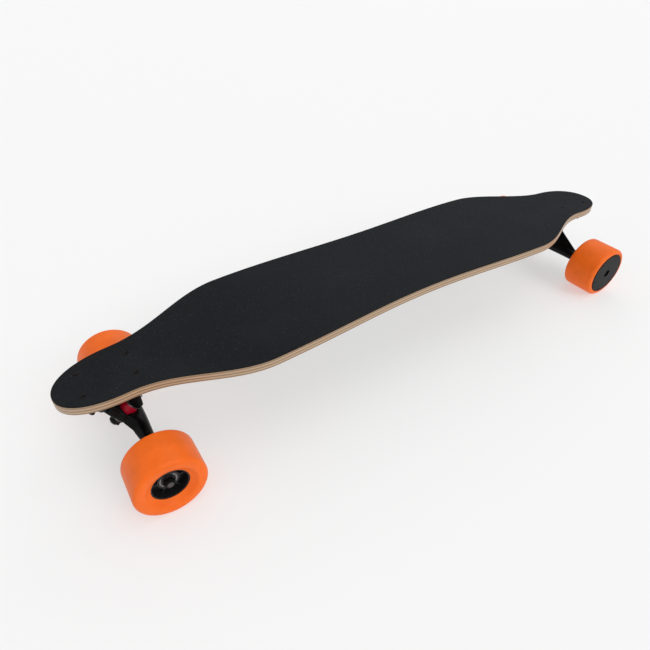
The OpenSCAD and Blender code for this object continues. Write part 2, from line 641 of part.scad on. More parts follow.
module control_case() color([0.12, 0.12, 0.13]) difference() {
  case_shell(control_x0, control_x1, control_w);
  translate([control_x1 - 7, -12, link_z]) cube([12, 24, 8]);
  translate([sink_x - 45, -30, case_floor - 1]) cube([90, 60, 10]);
  at_side(button_x) cylinder(h = 10, r = button_r + run_gap, center = true);
  at_side(socket_x) cylinder(h = 10, r = socket_r + 2, center = true);
  at_lights() cylinder(h = 10, r = light_r, center = true);
}
module control_gasket() color([0.2, 0.2, 0.2]) case_gasket(control_x0, control_x1, control_w);
sink_x = (control_x0 + control_x1) / 2 - 20;
module control_board() color([0.1, 0.3, 0.15]) translate([control_x0 + 14, -44, case_floor + 10]) {
  cube([150, 76, 1.6]);
  for (i = [0 : 5]) translate([14 + 15 * i, 8, 1.6]) cube([10, 15, 4.4]);
  for (i = [0 : 2]) translate([20 + 24 * i, 66, 6.2]) rotate([0, 90, 0]) cylinder(h = 20, r = 4.6);
  translate([112, 30, 1.6]) cube([26, 32, 3]);
}
module heat_sink() color("silver") translate([sink_x, 0, case_floor]) {
  translate([-45, -30, -1]) cube([90, 60, 5.4]);
  for (i = [0 : 8]) translate([-43, -28 + 6.75 * i, -4]) cube([86, 2, 3]);
}
link_z = case_floor + 12;
module power_link() color([0.1, 0.1, 0.1]) intersection() {
  translate([control_x1 + flange_w, -14, link_z - 2])
    cube([battery_x0 - control_x1 - 2 * flange_w, 28, 40]);
  camber_slab(deck_t, 100);
}
side_y = control_w / 2;
side_z = case_floor + 14.5;
light_r = 1.6;
module at_side(x) translate([x, side_y - case_wall / 2, side_z]) rotate([-90, 0, 0]) children();
module at_lights() for (i = [0 : 3]) at_side(light_x + 5.5 * i - 4) children();
module power_button() color([0.15, 0.15, 0.15]) at_side(button_x) union() {
  translate([0, 0, -3]) cylinder(h = 3 + case_wall / 2 + 1.8, r = button_r);
  translate([0, 0, -3]) cylinder(h = 1.6, r = button_r + 0.9);
}
module charge_socket() color([0.3, 0.3, 0.3]) at_side(socket_x) difference() {
  union() {
    translate([0, 0, case_wall / 2]) cylinder(h = 1.4, r = socket_r + 2.6);
    translate([0, 0, case_wall / 2 - socket_depth - 2]) cylinder(h = socket_depth + 2, r = socket_r + 2);
  }
  translate([0, 0, case_wall / 2 + 1.4 - socket_depth]) cylinder(h = 20, r = socket_r);
}
module status_lights() color([0.4, 0.8, 0.5]) at_lights() translate([0, 0, -case_wall / 2])
  cylinder(h = case_wall + 0.5, r = light_r);
module front_left_tyre() at_front_wheel(1) front_tyre();
module front_left_core() at_front_wheel(1) front_core();
module front_left_bearings() at_front_wheel(1) front_bearings();
module front_left_spacer() at_front_wheel(1) front_spacer();
module rear_left_tyre() at_rear_wheel(1) rear_tyre();
module rear_left_rotor() at_rear_wheel(1) rear_rotor();
module rear_left_magnets() at_rear_wheel(1) rear_magnets();
module rear_left_cover() at_rear_wheel(1) rear_cover();
module rear_left_screws() at_rear_wheel(1) rear_screws();
module rear_left_bearings() at_rear_wheel(1) rear_bearings();
module front_right_tyre() at_front_wheel(-1) front_tyre();
module front_right_core() at_front_wheel(-1) front_core();
module front_right_bearings() at_front_wheel(-1) front_bearings();
module front_right_spacer() at_front_wheel(-1) front_spacer();
module rear_right_tyre() at_rear_wheel(-1) rear_tyre();
module rear_right_rotor() at_rear_wheel(-1) rear_rotor();
module rear_right_magnets() at_rear_wheel(-1) rear_magnets();
module rear_right_cover() at_rear_wheel(-1) rear_cover();
module rear_right_screws() at_rear_wheel(-1) rear_screws();
module rear_right_bearings() at_rear_wheel(-1) rear_bearings();

deck();
grip_tape();
riser_pads();
truck_bolts();
truck_nuts();
front_baseplate();
rear_baseplate();
kingpins();
kingpin_nuts();
bushing_washers();
pivot_cups();
front_board_bushing();
front_road_bushing();
rear_board_bushing();
rear_road_bushing();
front_hanger();
front_axle();
front_axle_nuts();
front_speed_rings();
front_left_tyre();
front_left_core();
front_left_bearings();
front_left_spacer();
front_right_tyre();
front_right_core();
front_right_bearings();
front_right_spacer();
rear_hanger();
motor_shafts();
shaft_clips();
stator_cores();
stator_windings();
rear_left_tyre();
rear_left_rotor();
rear_left_magnets();
rear_left_cover();
rear_left_screws();
rear_left_bearings();
rear_right_tyre();
rear_right_rotor();
rear_right_magnets();
rear_right_cover();
rear_right_screws();
rear_right_bearings();
motor_leads();
hanger_glands();
case_glands();
battery_case();
battery_gasket();
battery_cells();
battery_board();
control_case();
control_gasket();
control_board();
heat_sink();
case_screws();
power_link();
power_button();
charge_socket();
status_lights();
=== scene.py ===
# Electric longboard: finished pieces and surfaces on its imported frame.
# Metres, +X to the nose, +Y to the left, +Z up, origin on the ground below the middle of the wheelbase.
import json
import math

import bmesh
import bpy
from bpy.props import FloatProperty, FloatVectorProperty, IntProperty, PointerProperty
from mathutils import Euler, Matrix, Vector


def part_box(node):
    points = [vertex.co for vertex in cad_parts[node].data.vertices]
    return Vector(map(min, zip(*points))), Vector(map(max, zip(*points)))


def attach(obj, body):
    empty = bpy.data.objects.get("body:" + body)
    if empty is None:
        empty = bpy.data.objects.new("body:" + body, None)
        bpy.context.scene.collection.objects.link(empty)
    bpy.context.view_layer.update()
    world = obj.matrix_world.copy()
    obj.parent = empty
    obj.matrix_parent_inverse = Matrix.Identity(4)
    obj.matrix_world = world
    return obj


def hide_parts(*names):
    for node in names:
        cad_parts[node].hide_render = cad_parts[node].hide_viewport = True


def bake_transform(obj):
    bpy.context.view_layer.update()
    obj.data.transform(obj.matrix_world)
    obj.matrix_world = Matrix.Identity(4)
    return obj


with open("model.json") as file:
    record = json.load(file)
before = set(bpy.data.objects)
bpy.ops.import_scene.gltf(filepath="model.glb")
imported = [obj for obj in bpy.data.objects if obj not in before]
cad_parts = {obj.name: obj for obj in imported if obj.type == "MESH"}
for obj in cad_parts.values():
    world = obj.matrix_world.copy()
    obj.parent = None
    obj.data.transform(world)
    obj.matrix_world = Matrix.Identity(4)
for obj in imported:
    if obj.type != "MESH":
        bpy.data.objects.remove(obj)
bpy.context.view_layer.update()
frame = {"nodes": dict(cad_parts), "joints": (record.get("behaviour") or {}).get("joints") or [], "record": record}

bl_info = {
    "name": "Electric Longboard",
    "version": (1, 0, 0),
    "blender": (4, 5, 0),
    "location": "View3D > Sidebar > Longboard",
    "description": "Builds the deck, trucks, wheels, cases and stage of an electric longboard",
    "category": "Object",
}

SPIN_CENTRES = {j["child"]: Vector(j["pos_m"]) for j in frame["joints"] if j.get("continuous")}
AXLE_X = abs(next(iter(SPIN_CENTRES.values())).x)
AXLE_Z = next(iter(SPIN_CENTRES.values())).z
DECK_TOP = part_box("grip_tape")[1].z
HALF_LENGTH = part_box("deck")[1].x
MM = 0.001


# Settings ----------------------------------------------------------------------------------------

class DeckSettings(bpy.types.PropertyGroup):
    """Sizes and colours of the deck and its grip sheet."""

    waist: FloatProperty(name="Waist", description="Half width at the middle", default=0.091, unit="LENGTH")
    lobe: FloatProperty(name="Lobe", description="Half width where the feet stand",
                        default=0.0999, unit="LENGTH")
    lobe_x: FloatProperty(name="Lobe place", description="Distance from the middle to the widest place",
                          default=0.234, unit="LENGTH")
    neck: FloatProperty(name="Neck", description="Half width over the trucks",
                        default=0.0472, unit="LENGTH")
    neck_x: FloatProperty(name="Neck place", description="Distance from the middle to the neck",
                          default=0.414, unit="LENGTH")
    camber: FloatProperty(name="Camber radius", description="Radius of the curve along the deck",
                          default=5.5, unit="LENGTH")
    thickness: FloatProperty(name="Thickness", description="Laminate with its grip sheet",
                             default=0.012, unit="LENGTH")
    grip: FloatProperty(name="Grip thickness", description="Thickness of the grip sheet",
                        default=0.0008, unit="LENGTH")
    margin: FloatProperty(name="Bare margin", description="Bare wood left around the grip sheet",
                          default=0.0005, unit="LENGTH")
    rim: FloatProperty(name="Rim radius", description="Rounding of the deck's edges",
                       default=0.0028, unit="LENGTH")
    ply: FloatProperty(name="Ply thickness", description="Thickness of one layer of veneer",
                       default=0.0022, unit="LENGTH")
    pale: FloatVectorProperty(name="Pale veneer", description="Colour of the face veneers", subtype="COLOR",
                              default=(0.47, 0.325, 0.200))
    dark: FloatVectorProperty(name="Dark veneer", description="Colour of the cross veneers",
                              subtype="COLOR",
                              default=(0.17, 0.098, 0.058))
    grit: FloatVectorProperty(name="Grit", description="Colour of the grip sheet", subtype="COLOR",
                              default=(0.0070, 0.0080, 0.0100))
    bolt_hole: FloatProperty(name="Bolt hole", description="Radius of the holes that the bolt heads sit in",
                             default=0.00465, unit="LENGTH")
    # Painted light: where the grip sheet starts to be painted paler towards the tail
    painted_light_from: FloatProperty(name="Painted light from",
                        description="Place along the deck behind which the sheet is rubbed paler",
                        default=0.18, unit="LENGTH")


class TruckSettings(bpy.types.PropertyGroup):
    """Finish of the cast trucks and their bushings."""

    voxel: FloatProperty(name="Casting detail",
                         description="Size of the cells the castings are smoothed with",
                         default=0.0008, unit="LENGTH")
    smoothing: IntProperty(name="Smoothing", description="Rounds of smoothing on a casting's edges",
                           default=12)
    coat: FloatVectorProperty(name="Truck coat", description="Colour of the castings", subtype="COLOR",
                              default=(0.0032, 0.0032, 0.0035))
    bushing: FloatVectorProperty(name="Bushing", description="Colour of the cast urethane bushings",
                                 subtype="COLOR", default=(0.40, 0.005, 0.024))
    lead: FloatProperty(name="Lead radius", description="Radius of a motor lead",
                        default=0.003, unit="LENGTH")


class WheelSettings(bpy.types.PropertyGroup):
    """Sizes and colours of the four wheels."""

    radius: FloatProperty(name="Radius", description="Outer radius of the tyres",
                          default=0.045, unit="LENGTH")
    half_width: FloatProperty(name="Half width", description="Half the width of a tyre",
                              default=0.0275, unit="LENGTH")
    shoulder: FloatProperty(name="Shoulder", description="Radius of a tyre's shoulders",
                            default=0.0058, unit="LENGTH")
    steps: IntProperty(name="Steps", description="Facets around a tyre", default=112)
    tyre: FloatVectorProperty(name="Tyre", description="Colour of the cast urethane", subtype="COLOR",
                              default=(0.92, 0.150, 0.006))
    core: FloatVectorProperty(name="Core", description="Colour of the moulded cores", subtype="COLOR",
                              default=(0.007, 0.007, 0.0075))
    cover: FloatVectorProperty(name="Motor cover", description="Colour of the motors' end covers",
                               subtype="COLOR", default=(0.0050, 0.0048, 0.0047))


class CaseSettings(bpy.types.PropertyGroup):
    """Finish of the cases below the deck."""

    edge: FloatProperty(name="Edge radius", description="Rounding of the cases' edges",
                        default=0.0011, unit="LENGTH")
    shell: FloatVectorProperty(name="Shell", description="Colour of the moulded shells", subtype="COLOR",
                               default=(0.018, 0.018, 0.020))


class StageSettings(bpy.types.PropertyGroup):
    """Camera, floor and light."""

    azimuth: FloatProperty(name="Azimuth", description="Compass direction of the camera in degrees",
                           default=147.44)
    elevation: FloatProperty(name="Elevation", description="Height of the camera in degrees", default=39.3)
    roll: FloatProperty(name="Roll", description="Turn of the camera about its view in degrees",
                        default=-0.24)
    place: FloatVectorProperty(name="Camera place", description="Where the camera stands",
                               subtype="TRANSLATION",
                               default=(0.4451, 0.5218, 0.5692))
    lens: FloatProperty(name="Lens", description="Focal length in millimetres", default=28.59)
    floor: FloatVectorProperty(name="Floor", description="Colour of the floor", subtype="COLOR",
                               default=(0.50, 0.50, 0.50))
    glow: FloatProperty(name="Floor glow", description="Light that comes up through the floor",
                        default=0.45)
    ambient: FloatProperty(name="Ambient", description="Light from all around", default=0.62)
    key: FloatProperty(name="Key light", description="Soft light from the camera's side", default=0.85)
    top: FloatProperty(name="Top light", description="Very soft light from above", default=0.5)
    back: FloatProperty(name="Back light", description="Light from behind that draws edges", default=0.25)


# Node work ---------------------------------------------------------------------------------------

class Web:
    """Adds and joins nodes in one node tree."""

    def __init__(self, tree):
        self.tree = tree

    def add(self, kind, inputs=None, **settings):
        made = self.tree.nodes.new(kind)
        for key, value in settings.items():
            setattr(made, key, value)
        for key, value in (inputs or {}).items():
            self.feed(made.inputs[key], value)
        return made

    def feed(self, socket, value):
        if isinstance(value, bpy.types.NodeSocket):
            self.tree.links.new(value, socket)
        elif socket.type == "RGBA":
            socket.default_value = (*tuple(value)[:3], 1.0)
        else:
            socket.default_value = value

    def math(self, operation, a, b=0.0, c=0.0, clamp=False):
        made = self.add("ShaderNodeMath", {0: a, 1: b, 2: c}, operation=operation, use_clamp=clamp)
        return made.outputs[0]

    def mix(self, factor, a, b, blend="MIX"):
        made = self.add("ShaderNodeMix", data_type="RGBA", blend_type=blend)
        for index, value in ((0, factor), (6, a), (7, b)):
            self.feed(made.inputs[index], value)
        return made.outputs[2]

    def between(self, value, low, high, to_low=0.0, to_high=1.0):
        """A value from low to high, smoothly made one from to_low to to_high."""
        return self.add("ShaderNodeMapRange", {0: value, 1: low, 2: high, 3: to_low, 4: to_high},
                        interpolation_type="SMOOTHSTEP").outputs[0]

    def noise(self, vector, scale, detail=3.0, roughness=0.55, distortion=0.0):
        return self.add("ShaderNodeTexNoise", {"Vector": vector, "Scale": scale, "Detail": detail,
                                               "Roughness": roughness, "Distortion": distortion}).outputs[0]

    def place(self, vector=None, scale=(1, 1, 1)):
        """Object coordinates, stretched."""
        vector = vector or self.add("ShaderNodeTexCoord").outputs["Object"]
        return self.add("ShaderNodeMapping", {"Vector": vector, "Scale": scale}).outputs[0]

    def apart(self, vector):
        return self.add("ShaderNodeSeparateXYZ", {0: vector}).outputs


def new_group(name, inputs, outputs):
    """An empty node group with named inputs, each with its default, and named outputs."""
    tree = bpy.data.node_groups.new(name, "ShaderNodeTree")
    for label, default in inputs:
        kind = "NodeSocketFloat" if isinstance(default, float) else "NodeSocketColor"
        socket = tree.interface.new_socket(label, in_out="INPUT", socket_type=kind)
        socket.default_value = default if isinstance(default, float) else (*default, 1.0)
    for label, kind in outputs:
        tree.interface.new_socket(label, in_out="OUTPUT", socket_type=kind)
    web = Web(tree)
    return web, web.add("NodeGroupInput").outputs, web.add("NodeGroupOutput").inputs


def cast_grain_group():
    """The fine pebbled skin of a coated casting, with shallow waves below it."""
    web, given, made = new_group("Cast grain", [("Scale", 900.0), ("Wave", 0.35)],
                                 [("Height", "NodeSocketFloat"), ("Tone", "NodeSocketFloat")])
    place = web.place()
    pebble = web.noise(place, given["Scale"], 2.0, 0.6)
    wave = web.noise(place, 70.0, 2.0)
    web.feed(made["Height"], web.math("MULTIPLY_ADD", wave, given["Wave"], pebble))
    web.feed(made["Tone"], web.noise(place, 26.0, 4.0, 0.6))
    return web.tree


def scuff_group():
    """Dust and small scuffs: a mask of noise clouds and fine specks, and lines of drawn scratches."""
    web, given, made = new_group("Dust and scuffs", [("Amount", 0.3), ("Spread", 45.0)],
                                 [("Mask", "NodeSocketFloat"), ("Scratch", "NodeSocketFloat")])
    place = web.place()
    cloud = web.between(web.noise(place, given["Spread"], 6.0, 0.68), 0.5, 0.78)
    specks = web.between(web.noise(place, 820.0, 1.0), 0.66, 0.78)
    either = web.math("MAXIMUM", cloud, specks)
    web.feed(made["Mask"], web.math("MULTIPLY", either, given["Amount"], clamp=True))
    drawn = web.add("ShaderNodeTexWave", {"Vector": place, "Scale": 75.0, "Distortion": 26.0, "Detail": 3.0,
                                          "Detail Scale": 1.6}, wave_type="BANDS").outputs[1]
    web.feed(made["Scratch"], web.between(drawn, 0.93, 1.0))
    return web.tree


def hub_radius_group():
    """Distance from the nearer axle line, and the angle around it."""
    web, _, made = new_group("Hub radius", [],
                             [("Radius", "NodeSocketFloat"), ("Angle", "NodeSocketFloat")])
    x, _, z = web.apart(web.place())
    across = web.math("SUBTRACT", web.math("ABSOLUTE", x), AXLE_X)
    up = web.math("SUBTRACT", z, AXLE_Z)
    squares = web.math("MULTIPLY_ADD", across, across, web.math("MULTIPLY", up, up))
    web.feed(made["Radius"], web.math("SQRT", squares))
    web.feed(made["Angle"], web.math("ARCTAN2", up, across))
    return web.tree


def ply_group(deck):
    """Depth below the cambered riding surface, and the veneer that lies at that depth."""
    web, given, made = new_group("Veneers", [("Ply", deck.ply / MM)],
                                 [("Depth", "NodeSocketFloat"), ("Cross", "NodeSocketFloat"),
                                  ("Line", "NodeSocketFloat")])
    x, y, z = web.apart(web.place())
    drop = web.math("MULTIPLY", web.math("MULTIPLY", x, x), 0.5 / deck.camber)
    depth = web.math("SUBTRACT", web.math("SUBTRACT", DECK_TOP, drop), z)
    uneven = web.noise(web.place(scale=(1, 1, 0.3)), 22.0, 2.0)
    ripple = web.math("MULTIPLY", web.math("SUBTRACT", uneven, 0.5), 0.25)
    layers = web.math("ADD", web.math("DIVIDE", web.math("DIVIDE", depth, MM), given["Ply"]), ripple)
    part = web.math("FRACT", layers)
    web.feed(made["Depth"], depth)
    web.feed(made["Cross"], web.between(web.math("PINGPONG", layers, 1.0), 0.42, 0.62))
    web.feed(made["Line"], web.between(web.math("ABSOLUTE", web.math("SUBTRACT", part, 0.5)), 0.4, 0.5))
    return web.tree


def turned_group():
    """Fine rings left by turning, around the nearer axle line."""
    web, given, made = new_group("Turned rings", [("Pitch", 2600.0)], [("Height", "NodeSocketFloat")])
    hub = web.add("ShaderNodeGroup", node_tree=bpy.data.node_groups["Hub radius"]).outputs
    _, y, _ = web.apart(web.place())
    line = web.add("ShaderNodeCombineXYZ", {0: hub["Radius"], 1: y}).outputs[0]
    web.feed(made["Height"], web.noise(line, given["Pitch"], 2.0, 0.7))
    return web.tree


def make_groups(deck):
    cast_grain_group()
    scuff_group()
    hub_radius_group()
    ply_group(deck)
    turned_group()


class Finish:
    """One material with its Principled shader, and the groups placed in it."""

    def __init__(self, name, colour, roughness, metallic=0.0, **more):
        self.material = bpy.data.materials.new(name)
        self.material.use_nodes = True
        self.web = Web(self.material.node_tree)
        self.shader = self.material.node_tree.nodes["Principled BSDF"]
        self.set("Base Color", colour)
        self.set("Roughness", roughness)
        self.set("Metallic", metallic)
        for key, value in more.items():
            self.set(key.replace("_", " "), value)

    def set(self, socket, value):
        self.web.feed(self.shader.inputs[socket], value)

    def group(self, name, **inputs):
        return self.web.add("ShaderNodeGroup", inputs, node_tree=bpy.data.node_groups[name]).outputs

    def bump(self, height, strength, distance=0.0004):
        made = self.web.add("ShaderNodeBump",
                            {"Height": height, "Strength": strength, "Distance": distance})
        self.set("Normal", made.outputs[0])


def tint(colour, times, plus=0.0):
    """A colour made lighter or darker."""
    return tuple(min(1.0, c * times + plus) for c in colour)


def coated(name, colour, roughness=0.38, grain=900.0, wave=0.35, strength=0.35, dust=0.14,
           gleam=0.5):
    """Coated or anodised metal, or moulded plastic, with a pebbled skin and a little dust."""
    made = Finish(name, colour, roughness, Specular_IOR_Level=gleam)
    web = made.web
    skin = made.group("Cast grain", Scale=grain, Wave=wave)
    scuffs = made.group("Dust and scuffs", Amount=dust)
    lit = tint(colour, 1.5, 0.001)
    tone = web.mix(web.between(skin["Tone"], 0.35, 0.7), colour, lit)
    made.set("Base Color", web.mix(scuffs["Mask"], tone, (0.16, 0.15, 0.14)))
    rough = web.between(skin["Tone"], 0.25, 0.75, roughness - 0.05, roughness + 0.09)
    made.set("Roughness", web.math("MULTIPLY_ADD", scuffs["Mask"], 0.3, rough, clamp=True))
    made.bump(skin["Height"], strength, 0.00012)
    return made


def bright_metal(name, colour, roughness=0.28, pitch=2600.0, strength=0.25):
    """Bare turned or plated metal with rings around the axle and faint stains."""
    made = Finish(name, colour, roughness, metallic=1.0)
    web = made.web
    rings = made.group("Turned rings", Pitch=pitch)
    scuffs = made.group("Dust and scuffs", Amount=0.5, Spread=160.0)
    stain = tint(colour, 0.55)
    made.set("Base Color", web.mix(scuffs["Mask"], colour, stain))
    made.set("Roughness", web.math("MULTIPLY_ADD", scuffs["Mask"], 0.35, roughness, clamp=True))
    made.bump(rings["Height"], strength, 0.00008)
    return made


def maple(deck):
    """Lacquered maple: plies on the rim, long grain with pores on the faces."""
    made = Finish("Maple laminate", deck.pale, 0.42, Coat_Weight=0.12, Coat_Roughness=0.3)
    web = made.web
    plies = made.group("Veneers")
    long_grain = web.place(scale=(1.0, 9.0, 9.0))
    rings = web.noise(long_grain, 16.0, 6.0, 0.62, 0.7)
    fibre = web.noise(web.place(scale=(1.0, 12.0, 26.0)), 60.0, 3.0, 0.6)
    pores = web.between(web.noise(web.place(scale=(1.0, 14.0, 14.0)), 210.0, 2.0), 0.63, 0.72)
    face = web.mix(web.between(rings, 0.35, 0.7), deck.pale, tint(deck.pale, 0.72))
    face = web.mix(web.math("MULTIPLY", fibre, 0.35), face, tint(deck.pale, 0.62))
    face = web.mix(web.math("MULTIPLY", pores, 0.35), face, deck.dark)
    layer = web.noise(web.place(scale=(1.0, 1.0, 30.0)), 40.0, 4.0, 0.6)
    edge_pale = web.mix(layer, tint(deck.pale, 0.85), tint(deck.pale, 1.35))
    end = web.mix(web.math("MULTIPLY", plies["Cross"], 0.68), edge_pale, deck.dark)
    end = web.mix(web.math("MULTIPLY", plies["Line"], 0.3), end, tint(deck.dark, 0.6))
    # The faces show one veneer: only depths inside the laminate show the layers
    inside = web.math("MULTIPLY", web.between(plies["Depth"], deck.grip * 1.1, deck.grip * 1.1 + 0.0003),
                      web.between(plies["Depth"], deck.thickness - 0.00005, deck.thickness - 0.0005))
    made.set("Base Color", web.mix(inside, face, end))
    made.set("Roughness", web.between(rings, 0.2, 0.8, 0.36, 0.52))
    height = web.math("SUBTRACT", web.math("MULTIPLY_ADD", fibre, 0.5, web.math("MULTIPLY", rings, 0.3)),
                      web.math("MULTIPLY", web.math("MULTIPLY", plies["Line"], inside), 0.5))
    made.bump(height, 0.3, 0.0002)
    return made


def grip(deck):
    """Abrasive sheet: packed grit with a sparkle here and there, and painted light: paler from the middle back to
    the tail, where grazing light looks brighter.
    """
    made = Finish("Grip sheet", deck.grit, 0.9, Specular_IOR_Level=0.16)
    web = made.web
    place = web.place()
    cells = web.add("ShaderNodeTexVoronoi", {"Vector": place, "Scale": 1500.0})
    grit = web.noise(place, 1300.0, 2.0, 0.75)
    patches = web.noise(place, 9.0, 5.0, 0.6)
    tone = web.mix(web.between(grit, 0.3, 0.75), tint(deck.grit, 0.45),
                   tint(deck.grit, 1.9, 0.003))
    tone = web.mix(web.math("MULTIPLY", web.between(patches, 0.42, 0.72), 0.4), tone,
                   tint(deck.grit, 2.0, 0.004))
    # Painted light: the sheet is painted paler from the middle back to the tail, where grazing light makes it look
    # brighter
    painted = web.between(web.apart(place)[0], deck.painted_light_from + 0.1, deck.painted_light_from - 0.1)
    tone = web.mix(web.math("MULTIPLY", painted, 0.35), tone, tint(deck.grit, 2.0, 0.004))
    sparkle = web.between(web.apart(cells.outputs["Color"])[0], 0.985, 0.995)
    made.set("Base Color", web.mix(web.math("MULTIPLY", sparkle, 0.3), tone, (0.11, 0.112, 0.115)))
    made.set("Roughness", web.between(sparkle, 0.0, 1.0, 0.9, 0.5))
    made.bump(web.math("ADD", grit, web.math("MULTIPLY", cells.outputs["Distance"], 0.6)), 0.85, 0.0003)
    return made


def urethane(name, colour, roughness=0.42, cloud=0.16):
    """Cast urethane: even body colour, faint clouds, a satin skin and a little road dust."""
    made = Finish(name, colour, roughness, Specular_IOR_Level=0.24, Subsurface_Weight=0.12,
                  Subsurface_Scale=0.004)
    made.shader.inputs["Subsurface Radius"].default_value = (1.0, 0.35, 0.12)
    web = made.web
    place = web.place()
    clouds = web.noise(place, 38.0, 4.0, 0.6)
    fine = web.noise(place, 900.0, 2.0)
    scuffs = made.group("Dust and scuffs", Amount=cloud, Spread=70.0)
    body = web.mix(web.between(clouds, 0.3, 0.75), tint(colour, 0.93),
                   tint(colour, 1.06, 0.002))
    made.set("Base Color", web.mix(scuffs["Mask"], body, tint(colour, 0.75, 0.02)))
    made.set("Roughness", web.math("MULTIPLY_ADD", clouds, 0.14, roughness - 0.05, clamp=True))
    made.bump(web.math("MULTIPLY_ADD", fine, 0.4, clouds), 0.12, 0.0003)
    return made


def bearing():
    """Ground races with a black seal between them."""
    made = bright_metal("Bearing steel", (0.20, 0.205, 0.21), 0.24, 5200.0, 0.15)
    web = made.web
    radius = made.group("Hub radius")["Radius"]
    seal = web.math("MULTIPLY", web.between(radius, 0.0059, 0.0061), web.between(radius, 0.0092, 0.0090))
    stained = made.shader.inputs["Base Color"].links[0].from_socket
    made.set("Base Color", web.mix(seal, stained, (0.009, 0.009, 0.0095)))
    made.set("Metallic", web.math("SUBTRACT", 1.0, seal))
    made.set("Roughness", web.between(seal, 0.0, 1.0, 0.2, 0.55))
    return made


def motor_cover(colour):
    """Anodised cover, turned from the middle, with faint radial seams."""
    made = Finish("Motor cover", colour, 0.5, Specular_IOR_Level=0.12)
    web = made.web
    hub = made.group("Hub radius")
    rings = made.group("Turned rings", Pitch=1900.0)
    scuffs = made.group("Dust and scuffs", Amount=0.2, Spread=60.0)
    wedge = web.math("ABSOLUTE", web.math("SINE", web.math("MULTIPLY", hub["Angle"], 3.0)))
    seam = web.math("MULTIPLY", web.between(wedge, 0.05, 0.02),
                    web.math("MULTIPLY", web.between(hub["Radius"], 0.0125, 0.014),
                             web.between(hub["Radius"], 0.0352, 0.0342)))
    ring = web.between(web.math("ABSOLUTE", web.math("SUBTRACT", hub["Radius"], 0.0122)), 0.0005, 0.0002)
    cut = web.math("MAXIMUM", seam, ring)
    shade = web.mix(web.noise(web.place(), 30.0, 4.0), tint(colour, 0.85),
                    tint(colour, 1.2))
    shade = web.mix(web.math("MULTIPLY", cut, 0.6), shade, tint(colour, 0.3))
    made.set("Base Color", web.mix(scuffs["Mask"], shade, (0.04, 0.039, 0.038)))
    made.set("Roughness", web.between(rings["Height"], 0.3, 0.7, 0.4, 0.52))
    made.bump(web.math("SUBTRACT", web.math("MULTIPLY", rings["Height"], 0.25), cut), 0.5, 0.0002)
    return made


def winding():
    """Enamelled copper wire laid side by side."""
    made = Finish("Copper winding", (0.55, 0.2, 0.06), 0.3, metallic=1.0)
    web = made.web
    strands = web.add("ShaderNodeTexWave", {"Vector": web.place(), "Scale": 260.0, "Distortion": 0.6},
                      wave_type="BANDS", bands_direction="DIAGONAL").outputs[1]
    made.set("Base Color", web.mix(strands, (0.24, 0.07, 0.02), (0.62, 0.25, 0.08)))
    made.bump(strands, 0.6, 0.0003)
    return made


def cell_wrap():
    """Shrink wrap over the cells, tight with faint creases."""
    made = Finish("Cell wrap", (0.05, 0.2, 0.13), 0.25, Coat_Weight=0.3)
    web = made.web
    creases = web.noise(web.place(scale=(0.3, 1, 1)), 120.0, 3.0, 0.6, 0.4)
    made.set("Base Color", web.mix(web.between(creases, 0.3, 0.7), (0.04, 0.17, 0.11), (0.07, 0.25, 0.16)))
    made.bump(creases, 0.25, 0.0003)
    return made


def circuit():
    """Solder mask over traces, in a brick pattern of greens."""
    made = Finish("Circuit board", (0.01, 0.09, 0.035), 0.35)
    web = made.web
    tracks = web.add("ShaderNodeTexBrick", {"Vector": web.place(), "Scale": 170.0, "Mortar Size": 0.04,
                                            "Color1": (0.01, 0.085, 0.03, 1),
                                            "Color2": (0.012, 0.11, 0.045, 1),
                                            "Mortar": (0.03, 0.2, 0.09, 1)})
    made.set("Base Color", tracks.outputs[0])
    made.set("Roughness", web.between(web.noise(web.place(), 300.0), 0.3, 0.7, 0.28, 0.5))
    made.bump(tracks.outputs[1], 0.2, 0.0001)
    return made


def lens():
    """Small translucent light pipes, unlit, with a moulded grain."""
    made = Finish("Light lens", (0.45, 0.75, 0.5), 0.22, Subsurface_Weight=0.5, Subsurface_Scale=0.002)
    web = made.web
    haze = web.noise(web.place(), 700.0, 2.0)
    made.set("Base Color", web.mix(haze, (0.38, 0.68, 0.44), (0.6, 0.86, 0.64)))
    made.bump(haze, 0.2, 0.0001)
    return made


def braided(name, colour):
    """Cable sleeve: two sets of crossing strands."""
    made = Finish(name, colour, 0.6, Specular_IOR_Level=0.4)
    web = made.web
    x, y, z = web.apart(web.place())
    one = web.math("SINE", web.math("MULTIPLY", web.math("ADD", web.math("ADD", x, y), z), 4200.0))
    two = web.math("SINE", web.math("MULTIPLY", web.math("SUBTRACT", web.math("ADD", x, z), y), 4200.0))
    weave = web.math("MULTIPLY_ADD", web.math("MULTIPLY", one, two), 0.5, 0.5)
    made.set("Base Color", web.mix(weave, tint(colour, 0.5), tint(colour, 1.8, 0.004)))
    made.set("Roughness", web.between(weave, 0.0, 1.0, 0.7, 0.5))
    made.bump(weave, 0.6, 0.0002)
    return made


